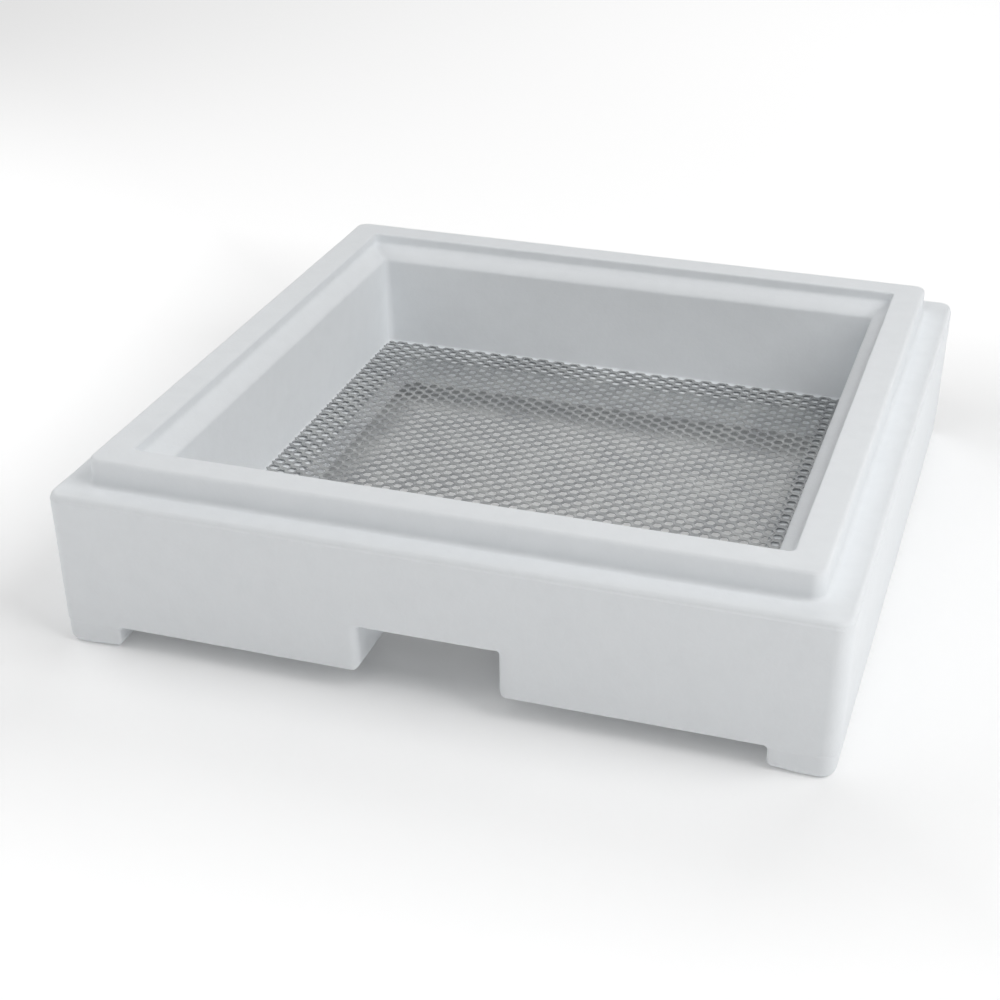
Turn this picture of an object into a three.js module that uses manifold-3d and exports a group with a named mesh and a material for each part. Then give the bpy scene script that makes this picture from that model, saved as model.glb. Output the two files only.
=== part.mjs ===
// Open-mesh floor tray: a square moulded-foam body with a stacking rim, two side runners
// and a front notch, and an expanded-metal panel lying on the body's inner ledge.
// Millimetres, +Z up, front towards -Y, origin at the centre of the footprint.

import * as THREE from "three";
import { mergeVertices } from "three/addons/utils/BufferGeometryUtils.js";
import Module from "manifold-3d";

const wasm = await Module();
wasm.setup();

// Outer body
const OUTER = 300; // side of the square plan, at the shelf
const BODY_TOP = 64; // height of the shelf that the next box sits on
const OUTER_DRAFT = 1.5; // how far each side leans in at the ground
const OUTER_RADIUS = 6; // vertical outer corners
const EDGE_EASE = 1.8; // eased edge around the shelf

// Stacking rim
const RIM_HEIGHT = 11;
const RIM_INSET = 12.1; // shelf width, outer side to rim
const RIM_RADIUS = 5;
const RIM_EASE = 0.8;

// Inside, from the rim down
const MOUTH_INSET = 25.3; // outer side to the rim's inner edge
const MOUTH_DEPTH = 4.8; // upright stretch below the rim's top
const STEP_INSET = 31.8; // inner edge of the sloping step
const STEP_DEPTH = 9.9; // that edge below the rim's top
const WALL_BASE_INSET = 34.5; // walls at the ledge
const INNER_RADIUS = 4;

// Ledge and panel
const LEDGE_TOP = 23.5;
const LEDGE_INSET = 50; // outer side to the open middle
const PANEL_GAP = 0.3; // under the panel
const PANEL_THICKNESS = 1.2;
const PANEL_EDGE_GAP = 0.5; // panel edge to the walls

// Underside
const UNDERSIDE = 10; // height of the body's underside between the runners
const RUNNER_INNER = 25.5; // outer side to a runner's inner side

// Front notch
const NOTCH_WIDTH = 54;
const NOTCH_TOP = 29;

// Panel openings: each one stands for a block of the real panel's 8 x 6 mm diamonds
const DIAMOND_LONG = 24;
const DIAMOND_SHORT = 18;
const STRAND = 3;
const PANEL_MARGIN = 3;

const CORNER_SEGMENTS = 4;
const OVERSHOOT = 5; // how far a cutter passes a face that it opens
const HALF = OUTER / 2;
const TOP = BODY_TOP + RIM_HEIGHT;

const foamWhite = new THREE.MeshStandardMaterial({ color: 0xf2f4f3, roughness: 0.85, metalness: 0 });
const meshGrey = new THREE.MeshStandardMaterial({ color: 0xa7a9a8, roughness: 0.45, metalness: 0.9 });

/** A square with round corners, centred on the origin. */
function roundedSquare(half, radius) {
  const corner = half - radius;
  const shape = new THREE.Shape();
  shape.absarc(corner, corner, radius, 0, Math.PI / 2);
  shape.absarc(-corner, corner, radius, Math.PI / 2, Math.PI);
  shape.absarc(-corner, -corner, radius, Math.PI, 1.5 * Math.PI);
  shape.absarc(corner, -corner, radius, 1.5 * Math.PI, 2 * Math.PI);
  shape.closePath();
  return shape;
}

/** A square block between two heights, with sides that lean from one half side to the other. */
function leaningBlock(bottomHalf, topHalf, bottomZ, topZ, radius) {
  const options = { depth: topZ - bottomZ, bevelEnabled: false, curveSegments: CORNER_SEGMENTS };
  const block = new THREE.ExtrudeGeometry(roundedSquare(bottomHalf, radius), options);
  const position = block.attributes.position;
  for (let i = 0; i < position.count; i += 1) {
    const height = position.getZ(i) / options.depth;
    const scale = 1 + (topHalf / bottomHalf - 1) * height;
    position.setXY(i, position.getX(i) * scale, position.getY(i) * scale);
  }
  block.translate(0, 0, bottomZ);
  return block;
}

/** A box from its lowest corner to its highest one. */
function boxBetween(low, high) {
  const size = high.map((value, i) => value - low[i]);
  const box = new THREE.BoxGeometry(...size);
  box.translate(...low.map((value, i) => value + size[i] / 2));
  return box;
}

/** Turns a closed three.js geometry into a solid that can be joined and cut. */
function toSolid(geometry) {
  const bare = geometry.clone();
  bare.deleteAttribute("normal");
  bare.deleteAttribute("uv");
  const merged = mergeVertices(bare, 1e-4);
  const vertProperties = new Float32Array(merged.attributes.position.array);
  const triVerts = new Uint32Array(merged.index.array);
  return new wasm.Manifold(new wasm.Mesh({ numProp: 3, vertProperties, triVerts }));
}

/** Turns a solid back into a geometry for a mesh. */
function toGeometry(solid) {
  const mesh = solid.getMesh();
  const geometry = new THREE.BufferGeometry();
  geometry.setAttribute("position", new THREE.BufferAttribute(mesh.vertProperties, 3));
  geometry.setIndex(new THREE.BufferAttribute(mesh.triVerts, 1));
  geometry.computeVertexNormals();
  return geometry;
}

const joinAll = (geometries) => geometries.map(toSolid).reduce((whole, next) => whole.add(next));

/** The foam before anything is taken out: leaning sides, eased shelf edge and the rim on top. */
function outerForm() {
  const easeStart = BODY_TOP - EDGE_EASE;
  const rimHalf = HALF - RIM_INSET;
  const rimEaseStart = TOP - RIM_EASE;
  return joinAll([
    leaningBlock(HALF - OUTER_DRAFT, HALF, 0, easeStart, OUTER_RADIUS),
    leaningBlock(HALF, HALF - EDGE_EASE, easeStart, BODY_TOP, OUTER_RADIUS),
    leaningBlock(rimHalf, rimHalf, easeStart, rimEaseStart, RIM_RADIUS),
    leaningBlock(rimHalf, rimHalf - RIM_EASE, rimEaseStart, TOP, RIM_RADIUS),
  ]);
}

/** The room above the ledge: near-upright walls, a sloping step and the mouth inside the rim. */
function innerRoom() {
  const mouthHalf = HALF - MOUTH_INSET;
  const stepHalf = HALF - STEP_INSET;
  return joinAll([
    leaningBlock(HALF - WALL_BASE_INSET, stepHalf, LEDGE_TOP, TOP - STEP_DEPTH, INNER_RADIUS),
    leaningBlock(stepHalf, mouthHalf, TOP - STEP_DEPTH, TOP - MOUTH_DEPTH, INNER_RADIUS),
    leaningBlock(mouthHalf, mouthHalf, TOP - MOUTH_DEPTH, TOP + OVERSHOOT, INNER_RADIUS),
  ]);
}

/** The open middle of the ledge, the space between the runners and the front notch. */
function undersideCuts() {
  const ledgeHalf = HALF - LEDGE_INSET;
  const runnerX = HALF - RUNNER_INNER;
  const notchX = NOTCH_WIDTH / 2;
  return joinAll([
    leaningBlock(ledgeHalf, ledgeHalf, -OVERSHOOT, LEDGE_TOP + OVERSHOOT, INNER_RADIUS),
    boxBetween([-runnerX, -HALF - OVERSHOOT, -OVERSHOOT], [runnerX, HALF + OVERSHOOT, UNDERSIDE]),
    boxBetween([-notchX, -HALF - OVERSHOOT, -OVERSHOOT], [notchX, -ledgeHalf + OVERSHOOT, NOTCH_TOP]),
  ]);
}

/** The one-piece moulded body. */
function foamBody() {
  return toGeometry(outerForm().subtract(innerRoom()).subtract(undersideCuts()));
}

/** One diamond opening, with its long way along X. */
function diamond(x, y) {
  const halfLong = (DIAMOND_LONG - STRAND) / 2;
  const halfShort = (DIAMOND_SHORT - STRAND) / 2;
  const path = new THREE.Path();
  path.moveTo(x + halfLong, y);
  path.lineTo(x, y + halfShort);
  path.lineTo(x - halfLong, y);
  path.lineTo(x, y - halfShort);
  path.closePath();
  return path;
}

/** The expanded-metal panel: a flat sheet with staggered rows of diamonds. */
function meshPanel() {
  const half = HALF - WALL_BASE_INSET - PANEL_EDGE_GAP;
  const reach = half - PANEL_MARGIN;
  const sheet = roundedSquare(half, INNER_RADIUS);
  const rowPitch = DIAMOND_SHORT / 2;
  const rows = Math.floor((reach - DIAMOND_SHORT / 2) / rowPitch);
  for (let row = -rows; row <= rows; row += 1) {
    const shift = row % 2 === 0 ? 0 : DIAMOND_LONG / 2;
    const count = Math.floor((reach - DIAMOND_LONG / 2 + shift) / DIAMOND_LONG);
    for (let i = -count; i <= count; i += 1) {
      const x = i * DIAMOND_LONG + shift;
      if (Math.abs(x) <= reach - DIAMOND_LONG / 2) {
        sheet.holes.push(diamond(x, row * rowPitch));
      }
    }
  }
  const options = { depth: PANEL_THICKNESS, bevelEnabled: false, curveSegments: CORNER_SEGMENTS };
  const panel = new THREE.ExtrudeGeometry(sheet, options);
  panel.translate(0, 0, LEDGE_TOP + PANEL_GAP);
  return panel;
}

/** A named mesh. */
function piece(name, geometry, material) {
  const mesh = new THREE.Mesh(geometry, material);
  mesh.name = name;
  return mesh;
}

const tray = new THREE.Group();
tray.add(piece("foam_body", foamBody(), foamWhite));
tray.add(piece("mesh_panel", meshPanel(), meshGrey));

export default tray;
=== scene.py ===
"""Looks for the open mesh floor tray: foam body and expanded-metal panel, on a pale floor."""

import math

import bpy
import numpy as np
from mathutils import Matrix, Vector


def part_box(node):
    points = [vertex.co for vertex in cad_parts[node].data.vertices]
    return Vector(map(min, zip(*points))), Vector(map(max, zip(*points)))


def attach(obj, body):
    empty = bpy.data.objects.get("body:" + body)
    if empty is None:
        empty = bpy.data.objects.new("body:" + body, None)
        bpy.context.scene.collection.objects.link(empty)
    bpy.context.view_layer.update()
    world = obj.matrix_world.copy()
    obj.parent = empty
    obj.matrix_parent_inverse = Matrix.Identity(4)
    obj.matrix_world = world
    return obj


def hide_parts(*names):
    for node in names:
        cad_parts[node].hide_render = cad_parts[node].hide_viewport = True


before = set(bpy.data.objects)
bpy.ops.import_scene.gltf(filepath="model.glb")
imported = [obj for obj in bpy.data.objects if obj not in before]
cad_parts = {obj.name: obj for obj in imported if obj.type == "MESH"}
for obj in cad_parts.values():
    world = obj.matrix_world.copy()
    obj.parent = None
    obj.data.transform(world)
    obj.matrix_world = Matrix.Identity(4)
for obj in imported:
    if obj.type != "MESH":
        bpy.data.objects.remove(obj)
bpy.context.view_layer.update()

# The shapes below are worked out in millimetres and put in Blender in metres.
MM = 0.001
body_low, body_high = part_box("foam_body")
panel_low, panel_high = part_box("mesh_panel")
HALF = (body_high.x - body_low.x) / 2 / MM
TOP = body_high.z / MM
PANEL_HALF = (panel_high.x - panel_low.x) / 2 / MM

# Outer body
BODY_TOP = TOP - 11
OUTER_DRAFT = 1.5
OUTER_RADIUS = 6
EDGE_RADIUS = 1.9
SEAM_BELOW_TOP = 2.0
SEAM_STEP = 0.45  # how far the foam above the seam is set back
SEAM_EDGE = 0.25

# Stacking rim
RIM_INSET = 12.1
RIM_RADIUS = 5
RIM_EDGE = 1.6
RIM_FILLET = 1.8

# Inside
MOUTH_INSET = 25.3
MOUTH_DEPTH = 5.2
MOUTH_EDGE = 1.0
STEP_INSET = 32.8
STEP_DEPTH = 9.3
STEP_SOFTNESS = 1.3
WALL_BASE_INSET = 34.5
WALL_RADIUS = 3.5
MOUTH_RADIUS = 2
BASE_FILLET = 1.4

# Ledge, underside and notch
LEDGE_TOP = 23.5
LEDGE_INSET = 50
LEDGE_RADIUS = 6
LEDGE_EDGE = 1.5
UNDERSIDE = 10
UNDER_FILLET = 1.5
UNDER_EDGE = 1.0
RUNNER_INNER = 25.5
FOOT_STEP = 0.3  # how far the sides step in below the underside's height
FOOT_STEP_BLEND = 0.8
GROUND_EDGE = 3  # ground edge on a runner's outer side
FOOT_EDGE = 4.8  # ground edge on its inner side
FOOT_EDGE_REACH = 12  # past the inner side, where the radius has come down to GROUND_EDGE
FOOT_EDGE_BLEND = 10  # width over which it comes down
NOTCH_HALF = 26.8
NOTCH_TOP = 29.2
NOTCH_SIDE_EDGE = 3.2
NOTCH_TOP_EDGE = 1.4
NOTCH_EDGE_BLEND = 6  # over which one radius turns into the other
NOTCH_CORNER = 1
NOTCH_PAST_LEDGE = 2

# Unevenness of the moulded faces
LONG_WAVE = 0.06
SHORT_WAVE = 0.04

# Expanded metal
DIAMOND_LONG = 8.0
DIAMOND_SHORT = 6.06
BOND_HALF = 1.5
STRIP_WIDTH = 1.65
STRIP_THICKNESS = 0.3
STRIP_TILT = math.radians(-8)
PANEL_SIDEWAYS = 0.22
PANEL_LIFT = 0.16

# Floor: half its width in metres, its grey, and its glow at some distances from the middle.
# Each distance is the larger of those along X and Y, in half sides of the object.
# The glow paints light and shade: a painted pool of light on the floor under the mesh,
# painted shade under the walls and ledge, and a painted soft shadow round the body
# that fades into an even white further out.
FLOOR_HALF = 30
FLOOR_SHADE = 0.9
PAINTED_FLOOR_GLOW = [(0.60, 0.18), (0.68, 0.0), (0.85, 0.03), (1.0, 0.14), (2.0, 0.4), (9.0, 0.6)]

# Strength of the sky's even light
SKY = 0.06

# Foam finish
FOAM_SHADE = (0.905, 0.93, 0.95)
FOAM_LIGHT = (0.93, 0.955, 0.975)
FOAM_ROUGHNESS = (0.55, 0.75)
FOAM_SPECULAR = 0.3
BEAD_SIZE = 3.4
JOINT_REACH = 0.16  # from the middle of a joint between beads, as a share of their size
JOINT_DEPTH = 0.04
BLOTCH_SIZE = 7
SWELL_SIZE = 9
SWELL_DEPTH = 0.15
GRAIN_SIZE = 0.7
GRAIN_DEPTH = 0.015

# Metal finish
METAL_SHADE = (0.40, 0.41, 0.42)
METAL_LIGHT = (0.50, 0.51, 0.51)
METAL_ROUGHNESS = (0.4, 0.6)
METALNESS = 0.55
CLOUD_SIZE = 14
MARK_SIZE = 0.5
MARK_DEPTH = 0.03

# Range that most of a noise's values lie in
NOISE_RANGE = (0.3, 0.7)

# Grid that the foam's surface is taken from: fine where edges run, coarse in between
FINE_STEP = 0.65
COARSE_STEP = 3.0
GRID_BEFORE_SIDE = 3
GRID_BOTTOM = -2.2
FINE_PAST_FOAM = 2
FINE_PAST_LEDGE = 4
FINE_BY_NOTCH = 7
FINE_BY_LEVEL = 3
FINE_BELOW_SHELF = 6
NORMAL_REACH = 0.3  # either side of a point, for the slope that gives its normal
FOAM_TRIANGLES = 190_000


def round_and(a, b, radius):
    """Distance field of the overlap of two solids, with the edge between them rounded."""
    edge = np.hypot(np.maximum(a + radius, 0), np.maximum(b + radius, 0))
    return np.minimum(np.maximum(a, b), -radius) + edge


def round_or(a, b, radius):
    """Distance field of two solids joined, with a fillet between them."""
    edge = np.hypot(np.maximum(radius - a, 0), np.maximum(radius - b, 0))
    return np.maximum(np.minimum(a, b), radius) - edge


def round_cut(a, b, radius):
    """Distance field of one solid with another taken out of it, with the edge rounded."""
    return round_and(a, -b, radius)


def square(x, y, half, radius):
    """Distance field of an upright square prism with round corners."""
    return round_and(np.abs(x) - half, np.abs(y) - half, radius)


def waviness(x, y, z):
    """The slight unevenness of a moulded foam face, in millimetres."""
    wave = LONG_WAVE * np.sin(0.11 * x + 0.07 * z + 1.0) * np.sin(0.09 * y + 0.6)
    return wave + SHORT_WAVE * np.sin(0.23 * y - 0.19 * z + 2.0) * np.sin(0.21 * x + 0.17 * z)


def room_half(z):
    """Half the width of the inside at a height: leaning wall, sloping step, upright mouth."""
    heights = [LEDGE_TOP, TOP - STEP_DEPTH, TOP - MOUTH_DEPTH]
    widths = [HALF - WALL_BASE_INSET, HALF - STEP_INSET, HALF - MOUTH_INSET]
    shifts = np.linspace(-STEP_SOFTNESS, STEP_SOFTNESS, 7)
    return sum(np.interp(z + shift, heights, widths) for shift in shifts) / len(shifts)


def foam_field(x, y, z):
    """Distance field of the foam body, negative inside and cut flat at the floor."""
    lean = OUTER_DRAFT * (1 - np.clip(z / BODY_TOP, 0, 1))
    foot_step = FOOT_STEP * np.clip((UNDERSIDE - z) / FOOT_STEP_BLEND, 0, 1)
    sides = square(x, y, HALF - lean - foot_step, OUTER_RADIUS)
    block = round_and(sides, z - BODY_TOP + SEAM_BELOW_TOP, SEAM_EDGE)
    lid = round_and(sides + SEAM_STEP, z - BODY_TOP, EDGE_RADIUS)
    block = np.minimum(block, lid)
    rim = round_and(square(x, y, HALF - RIM_INSET, RIM_RADIUS), z - TOP, RIM_EDGE)
    form = round_or(block, rim, RIM_FILLET)
    mouth_share = np.clip((z - LEDGE_TOP) / (TOP - LEDGE_TOP), 0, 1)
    corner = WALL_RADIUS + (MOUTH_RADIUS - WALL_RADIUS) * mouth_share
    room = round_and(square(x, y, room_half(z), corner), LEDGE_TOP - z, BASE_FILLET)
    form = round_cut(form, room, MOUTH_EDGE)
    form = round_cut(form, square(x, y, HALF - LEDGE_INSET, LEDGE_RADIUS), LEDGE_EDGE)
    beside = np.abs(x) - (HALF - RUNNER_INNER)
    form = round_cut(form, round_and(beside, z - UNDERSIDE, UNDER_FILLET), UNDER_EDGE)
    side = np.abs(x) - NOTCH_HALF
    ceiling = z - NOTCH_TOP
    depth = y + HALF - LEDGE_INSET - NOTCH_PAST_LEDGE
    notch = np.maximum(round_and(side, ceiling, NOTCH_CORNER), depth)
    side_share = np.clip((side - ceiling) / NOTCH_EDGE_BLEND + 0.5, 0, 1)
    notch_edge = NOTCH_TOP_EDGE + (NOTCH_SIDE_EDGE - NOTCH_TOP_EDGE) * side_share
    form = round_cut(form, notch, notch_edge)
    inner_share = (HALF - RUNNER_INNER + FOOT_EDGE_REACH - np.abs(x)) / FOOT_EDGE_BLEND
    ground_edge = GROUND_EDGE + (FOOT_EDGE - GROUND_EDGE) * np.clip(inner_share, 0, 1)
    return np.maximum(round_and(form, -z, ground_edge) + waviness(x, y, z), -z)


def surface_net(field, axes):
    """Vertices and quads on the zero level of a field sampled on a grid with the given axes."""
    inside = field < 0
    cell_shape = tuple(n - 1 for n in field.shape)
    full = np.ones(cell_shape, bool)
    empty = np.ones(cell_shape, bool)
    corners = [(i, j, k) for i in (0, 1) for j in (0, 1) for k in (0, 1)]
    for i, j, k in corners:
        part = inside[i : i + cell_shape[0], j : j + cell_shape[1], k : k + cell_shape[2]]
        full &= part
        empty &= ~part
    cells = np.argwhere(~(full | empty))
    index = np.full(cell_shape, -1, np.int32)
    index[tuple(cells.T)] = np.arange(len(cells))
    total = np.zeros((len(cells), 3))
    count = np.zeros((len(cells), 1))
    for a in corners:
        for axis in range(3):
            if a[axis]:
                continue
            b = tuple(v + (n == axis) for n, v in enumerate(a))
            at_a = cells + a
            at_b = cells + b
            value_a = field[tuple(at_a.T)]
            value_b = field[tuple(at_b.T)]
            crossed = (value_a < 0) != (value_b < 0)
            share = np.where(crossed, value_a / np.where(crossed, value_a - value_b, 1), 0)
            place_a = np.stack([axes[n][at_a[:, n]] for n in range(3)], 1)
            place_b = np.stack([axes[n][at_b[:, n]] for n in range(3)], 1)
            total += np.where(crossed[:, None], place_a + share[:, None] * (place_b - place_a), 0)
            count += crossed[:, None]
    quads = []
    for axis in range(3):
        one, two = [n for n in range(3) if n != axis]
        low = [slice(1, -1)] * 3
        high = [slice(1, -1)] * 3
        low[axis] = slice(0, -1)
        high[axis] = slice(1, None)
        edges = np.argwhere(inside[tuple(low)] != inside[tuple(high)])
        edges[:, one] += 1
        edges[:, two] += 1
        solid_first = inside[tuple(edges.T)]
        ring = []
        for step_one, step_two in ((0, 0), (1, 0), (1, 1), (0, 1)):
            cell = edges.copy()
            cell[:, one] -= step_one
            cell[:, two] -= step_two
            ring.append(index[tuple(cell.T)])
        ring = np.stack(ring, 1)
        outward = solid_first if axis != 1 else ~solid_first
        ring[~outward] = ring[~outward][:, ::-1]
        quads.append(ring)
    return total / count, np.concatenate(quads)


def new_piece(name, vertices_mm, faces, node, material):
    """A mesh object in metres that stands for a CAD node."""
    mesh = bpy.data.meshes.new(name)
    mesh.from_pydata((np.asarray(vertices_mm) * MM).tolist(), [], np.asarray(faces).tolist())
    mesh.materials.append(material)
    piece = bpy.data.objects.new(name, mesh)
    bpy.context.scene.collection.objects.link(piece)
    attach(piece, "root")
    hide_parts(node)
    return piece


def grid_axis(low, high, fine_stretches):
    """Grid coordinates between two ends: fine inside the given stretches, coarse elsewhere."""
    places = [low]
    while places[-1] < high:
        here = places[-1]
        fine = any(start <= here < end for start, end in fine_stretches)
        places.append(here + (FINE_STEP if fine else COARSE_STEP))
    return np.array(places)


def make_foam(material):
    """The foam body: its surface from the distance field, thinned, with the field's own normals."""
    inner = HALF - LEDGE_INSET - FINE_PAST_LEDGE
    outer = HALF + FINE_PAST_FOAM
    upper = TOP + FINE_PAST_FOAM
    sides = [(-outer, -inner), (inner, outer)]
    notch_sides = (-NOTCH_HALF, NOTCH_HALF)
    notch = [(place - FINE_BY_NOTCH, place + FINE_BY_NOTCH) for place in notch_sides]
    edges = [
        (-FINE_PAST_FOAM, UNDERSIDE + FINE_BY_LEVEL),
        (LEDGE_TOP - FINE_BY_LEVEL, NOTCH_TOP + FINE_PAST_FOAM),
        (BODY_TOP - FINE_BELOW_SHELF, upper),
    ]
    across = grid_axis(-HALF - GRID_BEFORE_SIDE, outer, sides + notch)
    along = grid_axis(-HALF - GRID_BEFORE_SIDE, outer, sides)
    upward = grid_axis(GRID_BOTTOM, upper, edges)
    field = foam_field(across[:, None, None], along[None, :, None], upward[None, None, :])
    vertices, quads = surface_net(field.astype(np.float32), (across, along, upward))
    piece = new_piece("foam_body_moulding", vertices, quads, "foam_body", material)
    mesh = piece.data
    triangles = 2 * len(quads)
    if triangles > FOAM_TRIANGLES:
        thin = piece.modifiers.new("thin", "DECIMATE")
        thin.ratio = FOAM_TRIANGLES / triangles
        evaluated = piece.evaluated_get(bpy.context.evaluated_depsgraph_get())
        thinned = bpy.data.meshes.new_from_object(evaluated)
        piece.modifiers.clear()
        piece.data = thinned
        bpy.data.meshes.remove(mesh)
        mesh = thinned
    mesh.shade_smooth()
    places = np.zeros(len(mesh.vertices) * 3)
    mesh.vertices.foreach_get("co", places)
    x, y, z = places.reshape(-1, 3).T / MM
    reach = NORMAL_REACH
    slopes = [
        foam_field(x + reach, y, z) - foam_field(x - reach, y, z),
        foam_field(x, y + reach, z) - foam_field(x, y - reach, z),
        foam_field(x, y, z + reach) - foam_field(x, y, z - reach),
    ]
    normals = np.stack(slopes, 1)
    normals /= np.maximum(np.linalg.norm(normals, axis=1, keepdims=True), 1e-9)
    mesh.normals_split_custom_set_from_vertices(normals.tolist())


def zigzag(x, row):
    """Zigzag wave between -1 and 1 along a strand, flat along the bonds with its neighbours."""
    wave = 4 * np.abs((x / DIAMOND_LONG + 0.5 * (row % 2)) % 1 - 0.5) - 1
    return np.clip(wave / (1 - 4 * BOND_HALF / DIAMOND_LONG), -1, 1)


def strand_places(end):
    """Places along a strand: the bends beside each bond and a point between them."""
    quarter = DIAMOND_LONG / 4
    count = int(end / quarter) + 2
    places = []
    for n in range(-count, count):
        reach = BOND_HALF if n % 2 == 0 else 0
        places += [n * quarter - reach, n * quarter + reach]
    inside = sorted({round(x, 4) for x in places if abs(x) < end - BOND_HALF})
    return np.array([-end, *inside, end])


def panel_drift(x, y):
    """How far the hand-laid, slightly uneven panel strays from a true grid: along Y and up."""
    sideways = PANEL_SIDEWAYS * np.sin(0.05 * x + 0.3) * np.sin(0.043 * y + 1.1)
    lift = PANEL_LIFT * (1 + np.sin(0.061 * x + 0.9) * np.sin(0.047 * y - 0.7))
    return sideways, lift


def strand_sides(x, y):
    """Unit offsets across a strand in plan, mitred so that it keeps its width round the bends."""
    step_x = np.diff(x)
    step_y = np.diff(y)
    length = np.hypot(step_x, step_y)
    before = np.stack([-step_y, step_x], 1) / length[:, None]
    normals = np.concatenate([before[:1], before[:-1] + before[1:], before[-1:]])
    normals[1:-1] /= 1 + np.sum(before[:-1] * before[1:], 1)[:, None]
    return normals


def make_panel(material):
    """The expanded-metal panel: zigzag strips, tilted, that meet their neighbours at the bonds."""
    pitch = DIAMOND_SHORT / 2
    rows = int(PANEL_HALF / pitch - 0.5)
    across = np.array([math.cos(STRIP_TILT), math.sin(STRIP_TILT)]) * STRIP_WIDTH / 2
    through = np.array([-math.sin(STRIP_TILT), math.cos(STRIP_TILT)]) * STRIP_THICKNESS / 2
    section = [across + through, across - through, -across - through, -across + through]
    swing = pitch / 2 - across[0]
    middle = LEDGE_TOP + 2 * abs(across[1]) + through[1]
    vertices = []
    faces = []
    for row in range(-rows - 1, rows + 1):
        row_y = (row + 0.5) * pitch
        past = max(abs(row_y) - PANEL_HALF + WALL_RADIUS, 0)
        end = PANEL_HALF - WALL_RADIUS + math.sqrt(WALL_RADIUS**2 - past**2)
        x = strand_places(end)
        wave = zigzag(x, row)
        sideways, lift = panel_drift(x, row_y)
        y = row_y + swing * wave + sideways
        z = middle - across[1] * wave + lift
        sides = strand_sides(x, y)
        first = len(vertices)
        for i in range(len(x)):
            for along, upward in section:
                shift_x, shift_y = along * sides[i]
                vertices.append((x[i] + shift_x, y[i] + shift_y, z[i] + upward))
        last = first + 4 * (len(x) - 1)
        for start in range(first, last, 4):
            for j in range(4):
                k = (j + 1) % 4
                faces.append((start + j, start + k, start + 4 + k, start + 4 + j))
        faces.append((first + 3, first + 2, first + 1, first))
        faces.append((last, last + 1, last + 2, last + 3))
    new_piece("expanded_metal", vertices, faces, "mesh_panel", material)


def shader(name):
    """A new material with its node tree and Principled shader."""
    material = bpy.data.materials.new(name)
    material.use_nodes = True
    tree = material.node_tree
    return material, tree, tree.nodes["Principled BSDF"]


def add_node(tree, kind, **inputs):
    """A new shader node with some of its sockets set; an underscore stands for a space."""
    node = tree.nodes.new(kind)
    for name, value in inputs.items():
        node.inputs[name.replace("_", " ")].default_value = value
    return node


def noise(tree, place, size_mm, detail):
    """Noise with blotches of about the given size, fixed to the object."""
    node = add_node(tree, "ShaderNodeTexNoise", Scale=1 / (size_mm * MM), Detail=detail)
    tree.links.new(place, node.inputs["Vector"])
    return node.outputs["Fac"]


def spread(tree, value, start, end, low, high):
    """A value taken from one range to another, smoothly and held at the ends."""
    ends = {"From_Min": start, "From_Max": end, "To_Min": low, "To_Max": high}
    node = add_node(tree, "ShaderNodeMapRange", **ends)
    node.interpolation_type = "SMOOTHSTEP"
    tree.links.new(value, node.inputs["Value"])
    return node.outputs["Result"]


def shades(tree, value, stops):
    """A colour that follows a value through the given stops of place and colour."""
    ramp = tree.nodes.new("ShaderNodeValToRGB")
    elements = ramp.color_ramp.elements
    while len(elements) < len(stops):
        elements.new(0.5)
    for element, (place, colour) in zip(elements, stops):
        element.position = place
        element.color = (*colour, 1)
    tree.links.new(value, ramp.inputs["Fac"])
    return ramp.outputs["Color"]


def relief(tree, height, depth_mm, strength, below=None):
    """A bump of the given full depth, on top of another bump if there is one."""
    bump = add_node(tree, "ShaderNodeBump", Strength=strength, Distance=depth_mm * MM)
    tree.links.new(height, bump.inputs["Height"])
    if below:
        tree.links.new(below, bump.inputs["Normal"])
    return bump.outputs["Normal"]


def foam_material():
    """Moulded white bead foam: beads pressed flat against each other, with faint blotches."""
    material, tree, bsdf = shader("white_foam_look")
    place = tree.nodes.new("ShaderNodeTexCoord").outputs["Object"]
    beads = add_node(tree, "ShaderNodeTexVoronoi", Scale=1 / (BEAD_SIZE * MM))
    beads.feature = "DISTANCE_TO_EDGE"
    tree.links.new(place, beads.inputs["Vector"])
    joints = spread(tree, beads.outputs["Distance"], 0.0, JOINT_REACH, 0.0, 1.0)
    swell = noise(tree, place, SWELL_SIZE, 1.0)
    grain = noise(tree, place, GRAIN_SIZE, 3.0)
    blotches = noise(tree, place, BLOTCH_SIZE, 3.0)
    colour = shades(tree, blotches, [(0.3, FOAM_SHADE), (0.7, FOAM_LIGHT)])
    tree.links.new(colour, bsdf.inputs["Base Color"])
    roughness = spread(tree, grain, *NOISE_RANGE, *FOAM_ROUGHNESS)
    tree.links.new(roughness, bsdf.inputs["Roughness"])
    bsdf.inputs["Specular IOR Level"].default_value = FOAM_SPECULAR
    swells = relief(tree, swell, SWELL_DEPTH, 0.5)
    pressed = relief(tree, joints, JOINT_DEPTH, 0.4, swells)
    tree.links.new(relief(tree, grain, GRAIN_DEPTH, 0.3, pressed), bsdf.inputs["Normal"])
    return material


def metal_material():
    """Plain expanded sheet metal: cloudy grey, a little dull, with fine rolling marks."""
    material, tree, bsdf = shader("expanded_metal_look")
    place = tree.nodes.new("ShaderNodeTexCoord").outputs["Object"]
    clouds = noise(tree, place, CLOUD_SIZE, 3.0)
    marks = noise(tree, place, MARK_SIZE, 2.0)
    colour = shades(tree, clouds, [(0.35, METAL_SHADE), (0.65, METAL_LIGHT)])
    tree.links.new(colour, bsdf.inputs["Base Color"])
    bsdf.inputs["Metallic"].default_value = METALNESS
    roughness = spread(tree, marks, *NOISE_RANGE, *METAL_ROUGHNESS)
    tree.links.new(roughness, bsdf.inputs["Roughness"])
    tree.links.new(relief(tree, marks, MARK_DEPTH, 0.5), bsdf.inputs["Normal"])
    return material


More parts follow.
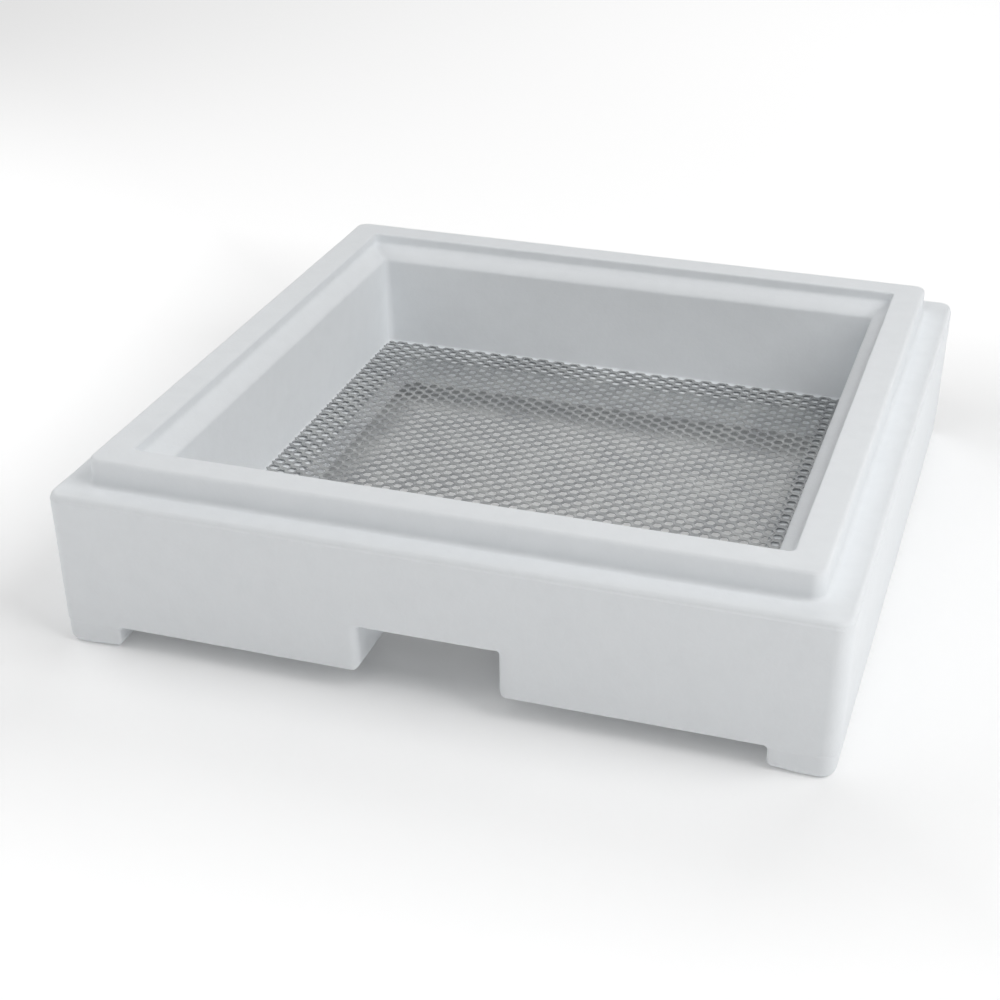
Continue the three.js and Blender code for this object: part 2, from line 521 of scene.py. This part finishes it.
def floor_material():
    """A pale matt floor whose glow paints light and shade: painted shade under the walls and ledge,
    a painted pool of light under the mesh, a painted soft shadow round the body, even white further
    out.
    """
    material, tree, bsdf = shader("pale_floor_painted_shade")
    bsdf.inputs["Base Color"].default_value = (FLOOR_SHADE, FLOOR_SHADE, FLOOR_SHADE, 1)
    bsdf.inputs["Roughness"].default_value = 0.9
    place = tree.nodes.new("ShaderNodeTexCoord")
    unsigned = tree.nodes.new("ShaderNodeVectorMath")
    unsigned.operation = "ABSOLUTE"
    tree.links.new(place.outputs["Object"], unsigned.inputs[0])
    parts = tree.nodes.new("ShaderNodeSeparateXYZ")
    tree.links.new(unsigned.outputs["Vector"], parts.inputs["Vector"])
    distance = tree.nodes.new("ShaderNodeMath")
    distance.operation = "MAXIMUM"
    tree.links.new(parts.outputs["X"], distance.inputs[0])
    tree.links.new(parts.outputs["Y"], distance.inputs[1])
    farthest = PAINTED_FLOOR_GLOW[-1][0]
    reach = add_node(tree, "ShaderNodeMapRange", From_Max=farthest * HALF * MM)
    tree.links.new(distance.outputs["Value"], reach.inputs["Value"])
    # Glow stops: painted light under the mesh, painted shade under walls and ledge, painted soft
    # shadow round the body, white beyond.
    stops = [(radius / farthest, (glow, glow, glow)) for radius, glow in PAINTED_FLOOR_GLOW]
    tree.links.new(shades(tree, reach.outputs["Result"], stops), bsdf.inputs["Emission Strength"])
    bsdf.inputs["Emission Color"].default_value = (1, 1, 1, 1)
    return material


def make_floor():
    """A pale floor with painted light and shade in its glow."""
    half = FLOOR_HALF
    mesh = bpy.data.meshes.new("floor")
    corners = [(-half, -half, 0), (half, -half, 0), (half, half, 0), (-half, half, 0)]
    mesh.from_pydata(corners, [], [(0, 1, 2, 3)])
    mesh.materials.append(floor_material())
    floor = bpy.data.objects.new("floor", mesh)
    bpy.context.scene.collection.objects.link(floor)


def area_light(name, turn, height, distance, size, power):
    """A soft square lamp aimed at the object, in metres and watts.

    The turn in degrees goes from behind (+Y) through the right (+X); the height is degrees up.
    """
    turn = math.radians(turn)
    height = math.radians(height)
    level = math.cos(height)
    place = distance * Vector((math.sin(turn) * level, math.cos(turn) * level, math.sin(height)))
    lamp = bpy.data.lights.new(name, "AREA")
    lamp.size = size
    lamp.energy = power
    light = bpy.data.objects.new(name, lamp)
    light.location = place
    light.rotation_euler = (-place).to_track_quat("-Z", "Y").to_euler()
    bpy.context.scene.collection.objects.link(light)


def make_lights():
    """A large soft key from the right, softer fills all round, and a faint even sky."""
    area_light("key", 104, 47, 1.2, 0.8, 7.7)
    area_light("back", 5, 40, 1.4, 0.8, 3.6)
    area_light("front", 190, 55, 1.4, 0.8, 2.1)
    area_light("left", 275, 35, 0.8, 0.5, 1.3)
    area_light("left_front", 240, 35, 0.8, 0.5, 0.5)
    world = bpy.data.worlds.new("soft_sky")
    world.use_nodes = True
    background = world.node_tree.nodes["Background"]
    background.inputs["Color"].default_value = (1, 1, 1, 1)
    background.inputs["Strength"].default_value = SKY
    bpy.context.scene.world = world


def make_camera():
    """The camera, in front, to the right and above, with its angles in radians."""
    side = 2 * HALF * MM
    place = Vector((0.6782, -2.3022, 1.3)) * side
    turn = -0.3137
    tilt = 0.4842
    roll = 0.0021
    reach = math.cos(tilt)
    forward = Vector((math.sin(turn) * reach, math.cos(turn) * reach, -math.sin(tilt)))
    level = Vector((math.cos(turn), -math.sin(turn), 0))
    upright = level.cross(forward)
    right = math.cos(roll) * level + math.sin(roll) * upright
    up = math.cos(roll) * upright - math.sin(roll) * level
    camera_data = bpy.data.cameras.new("camera")
    camera_data.lens = 68.38
    camera_data.sensor_width = 36
    camera = bpy.data.objects.new("camera", camera_data)
    turned = Matrix((right, up, -forward)).transposed().to_4x4()
    camera.matrix_world = Matrix.Translation(place) @ turned
    bpy.context.scene.collection.objects.link(camera)
    bpy.context.scene.camera = camera


make_camera()
make_floor()
make_lights()
make_foam(foam_material())
make_panel(metal_material())
bpy.context.scene.view_settings.view_transform = "Standard"
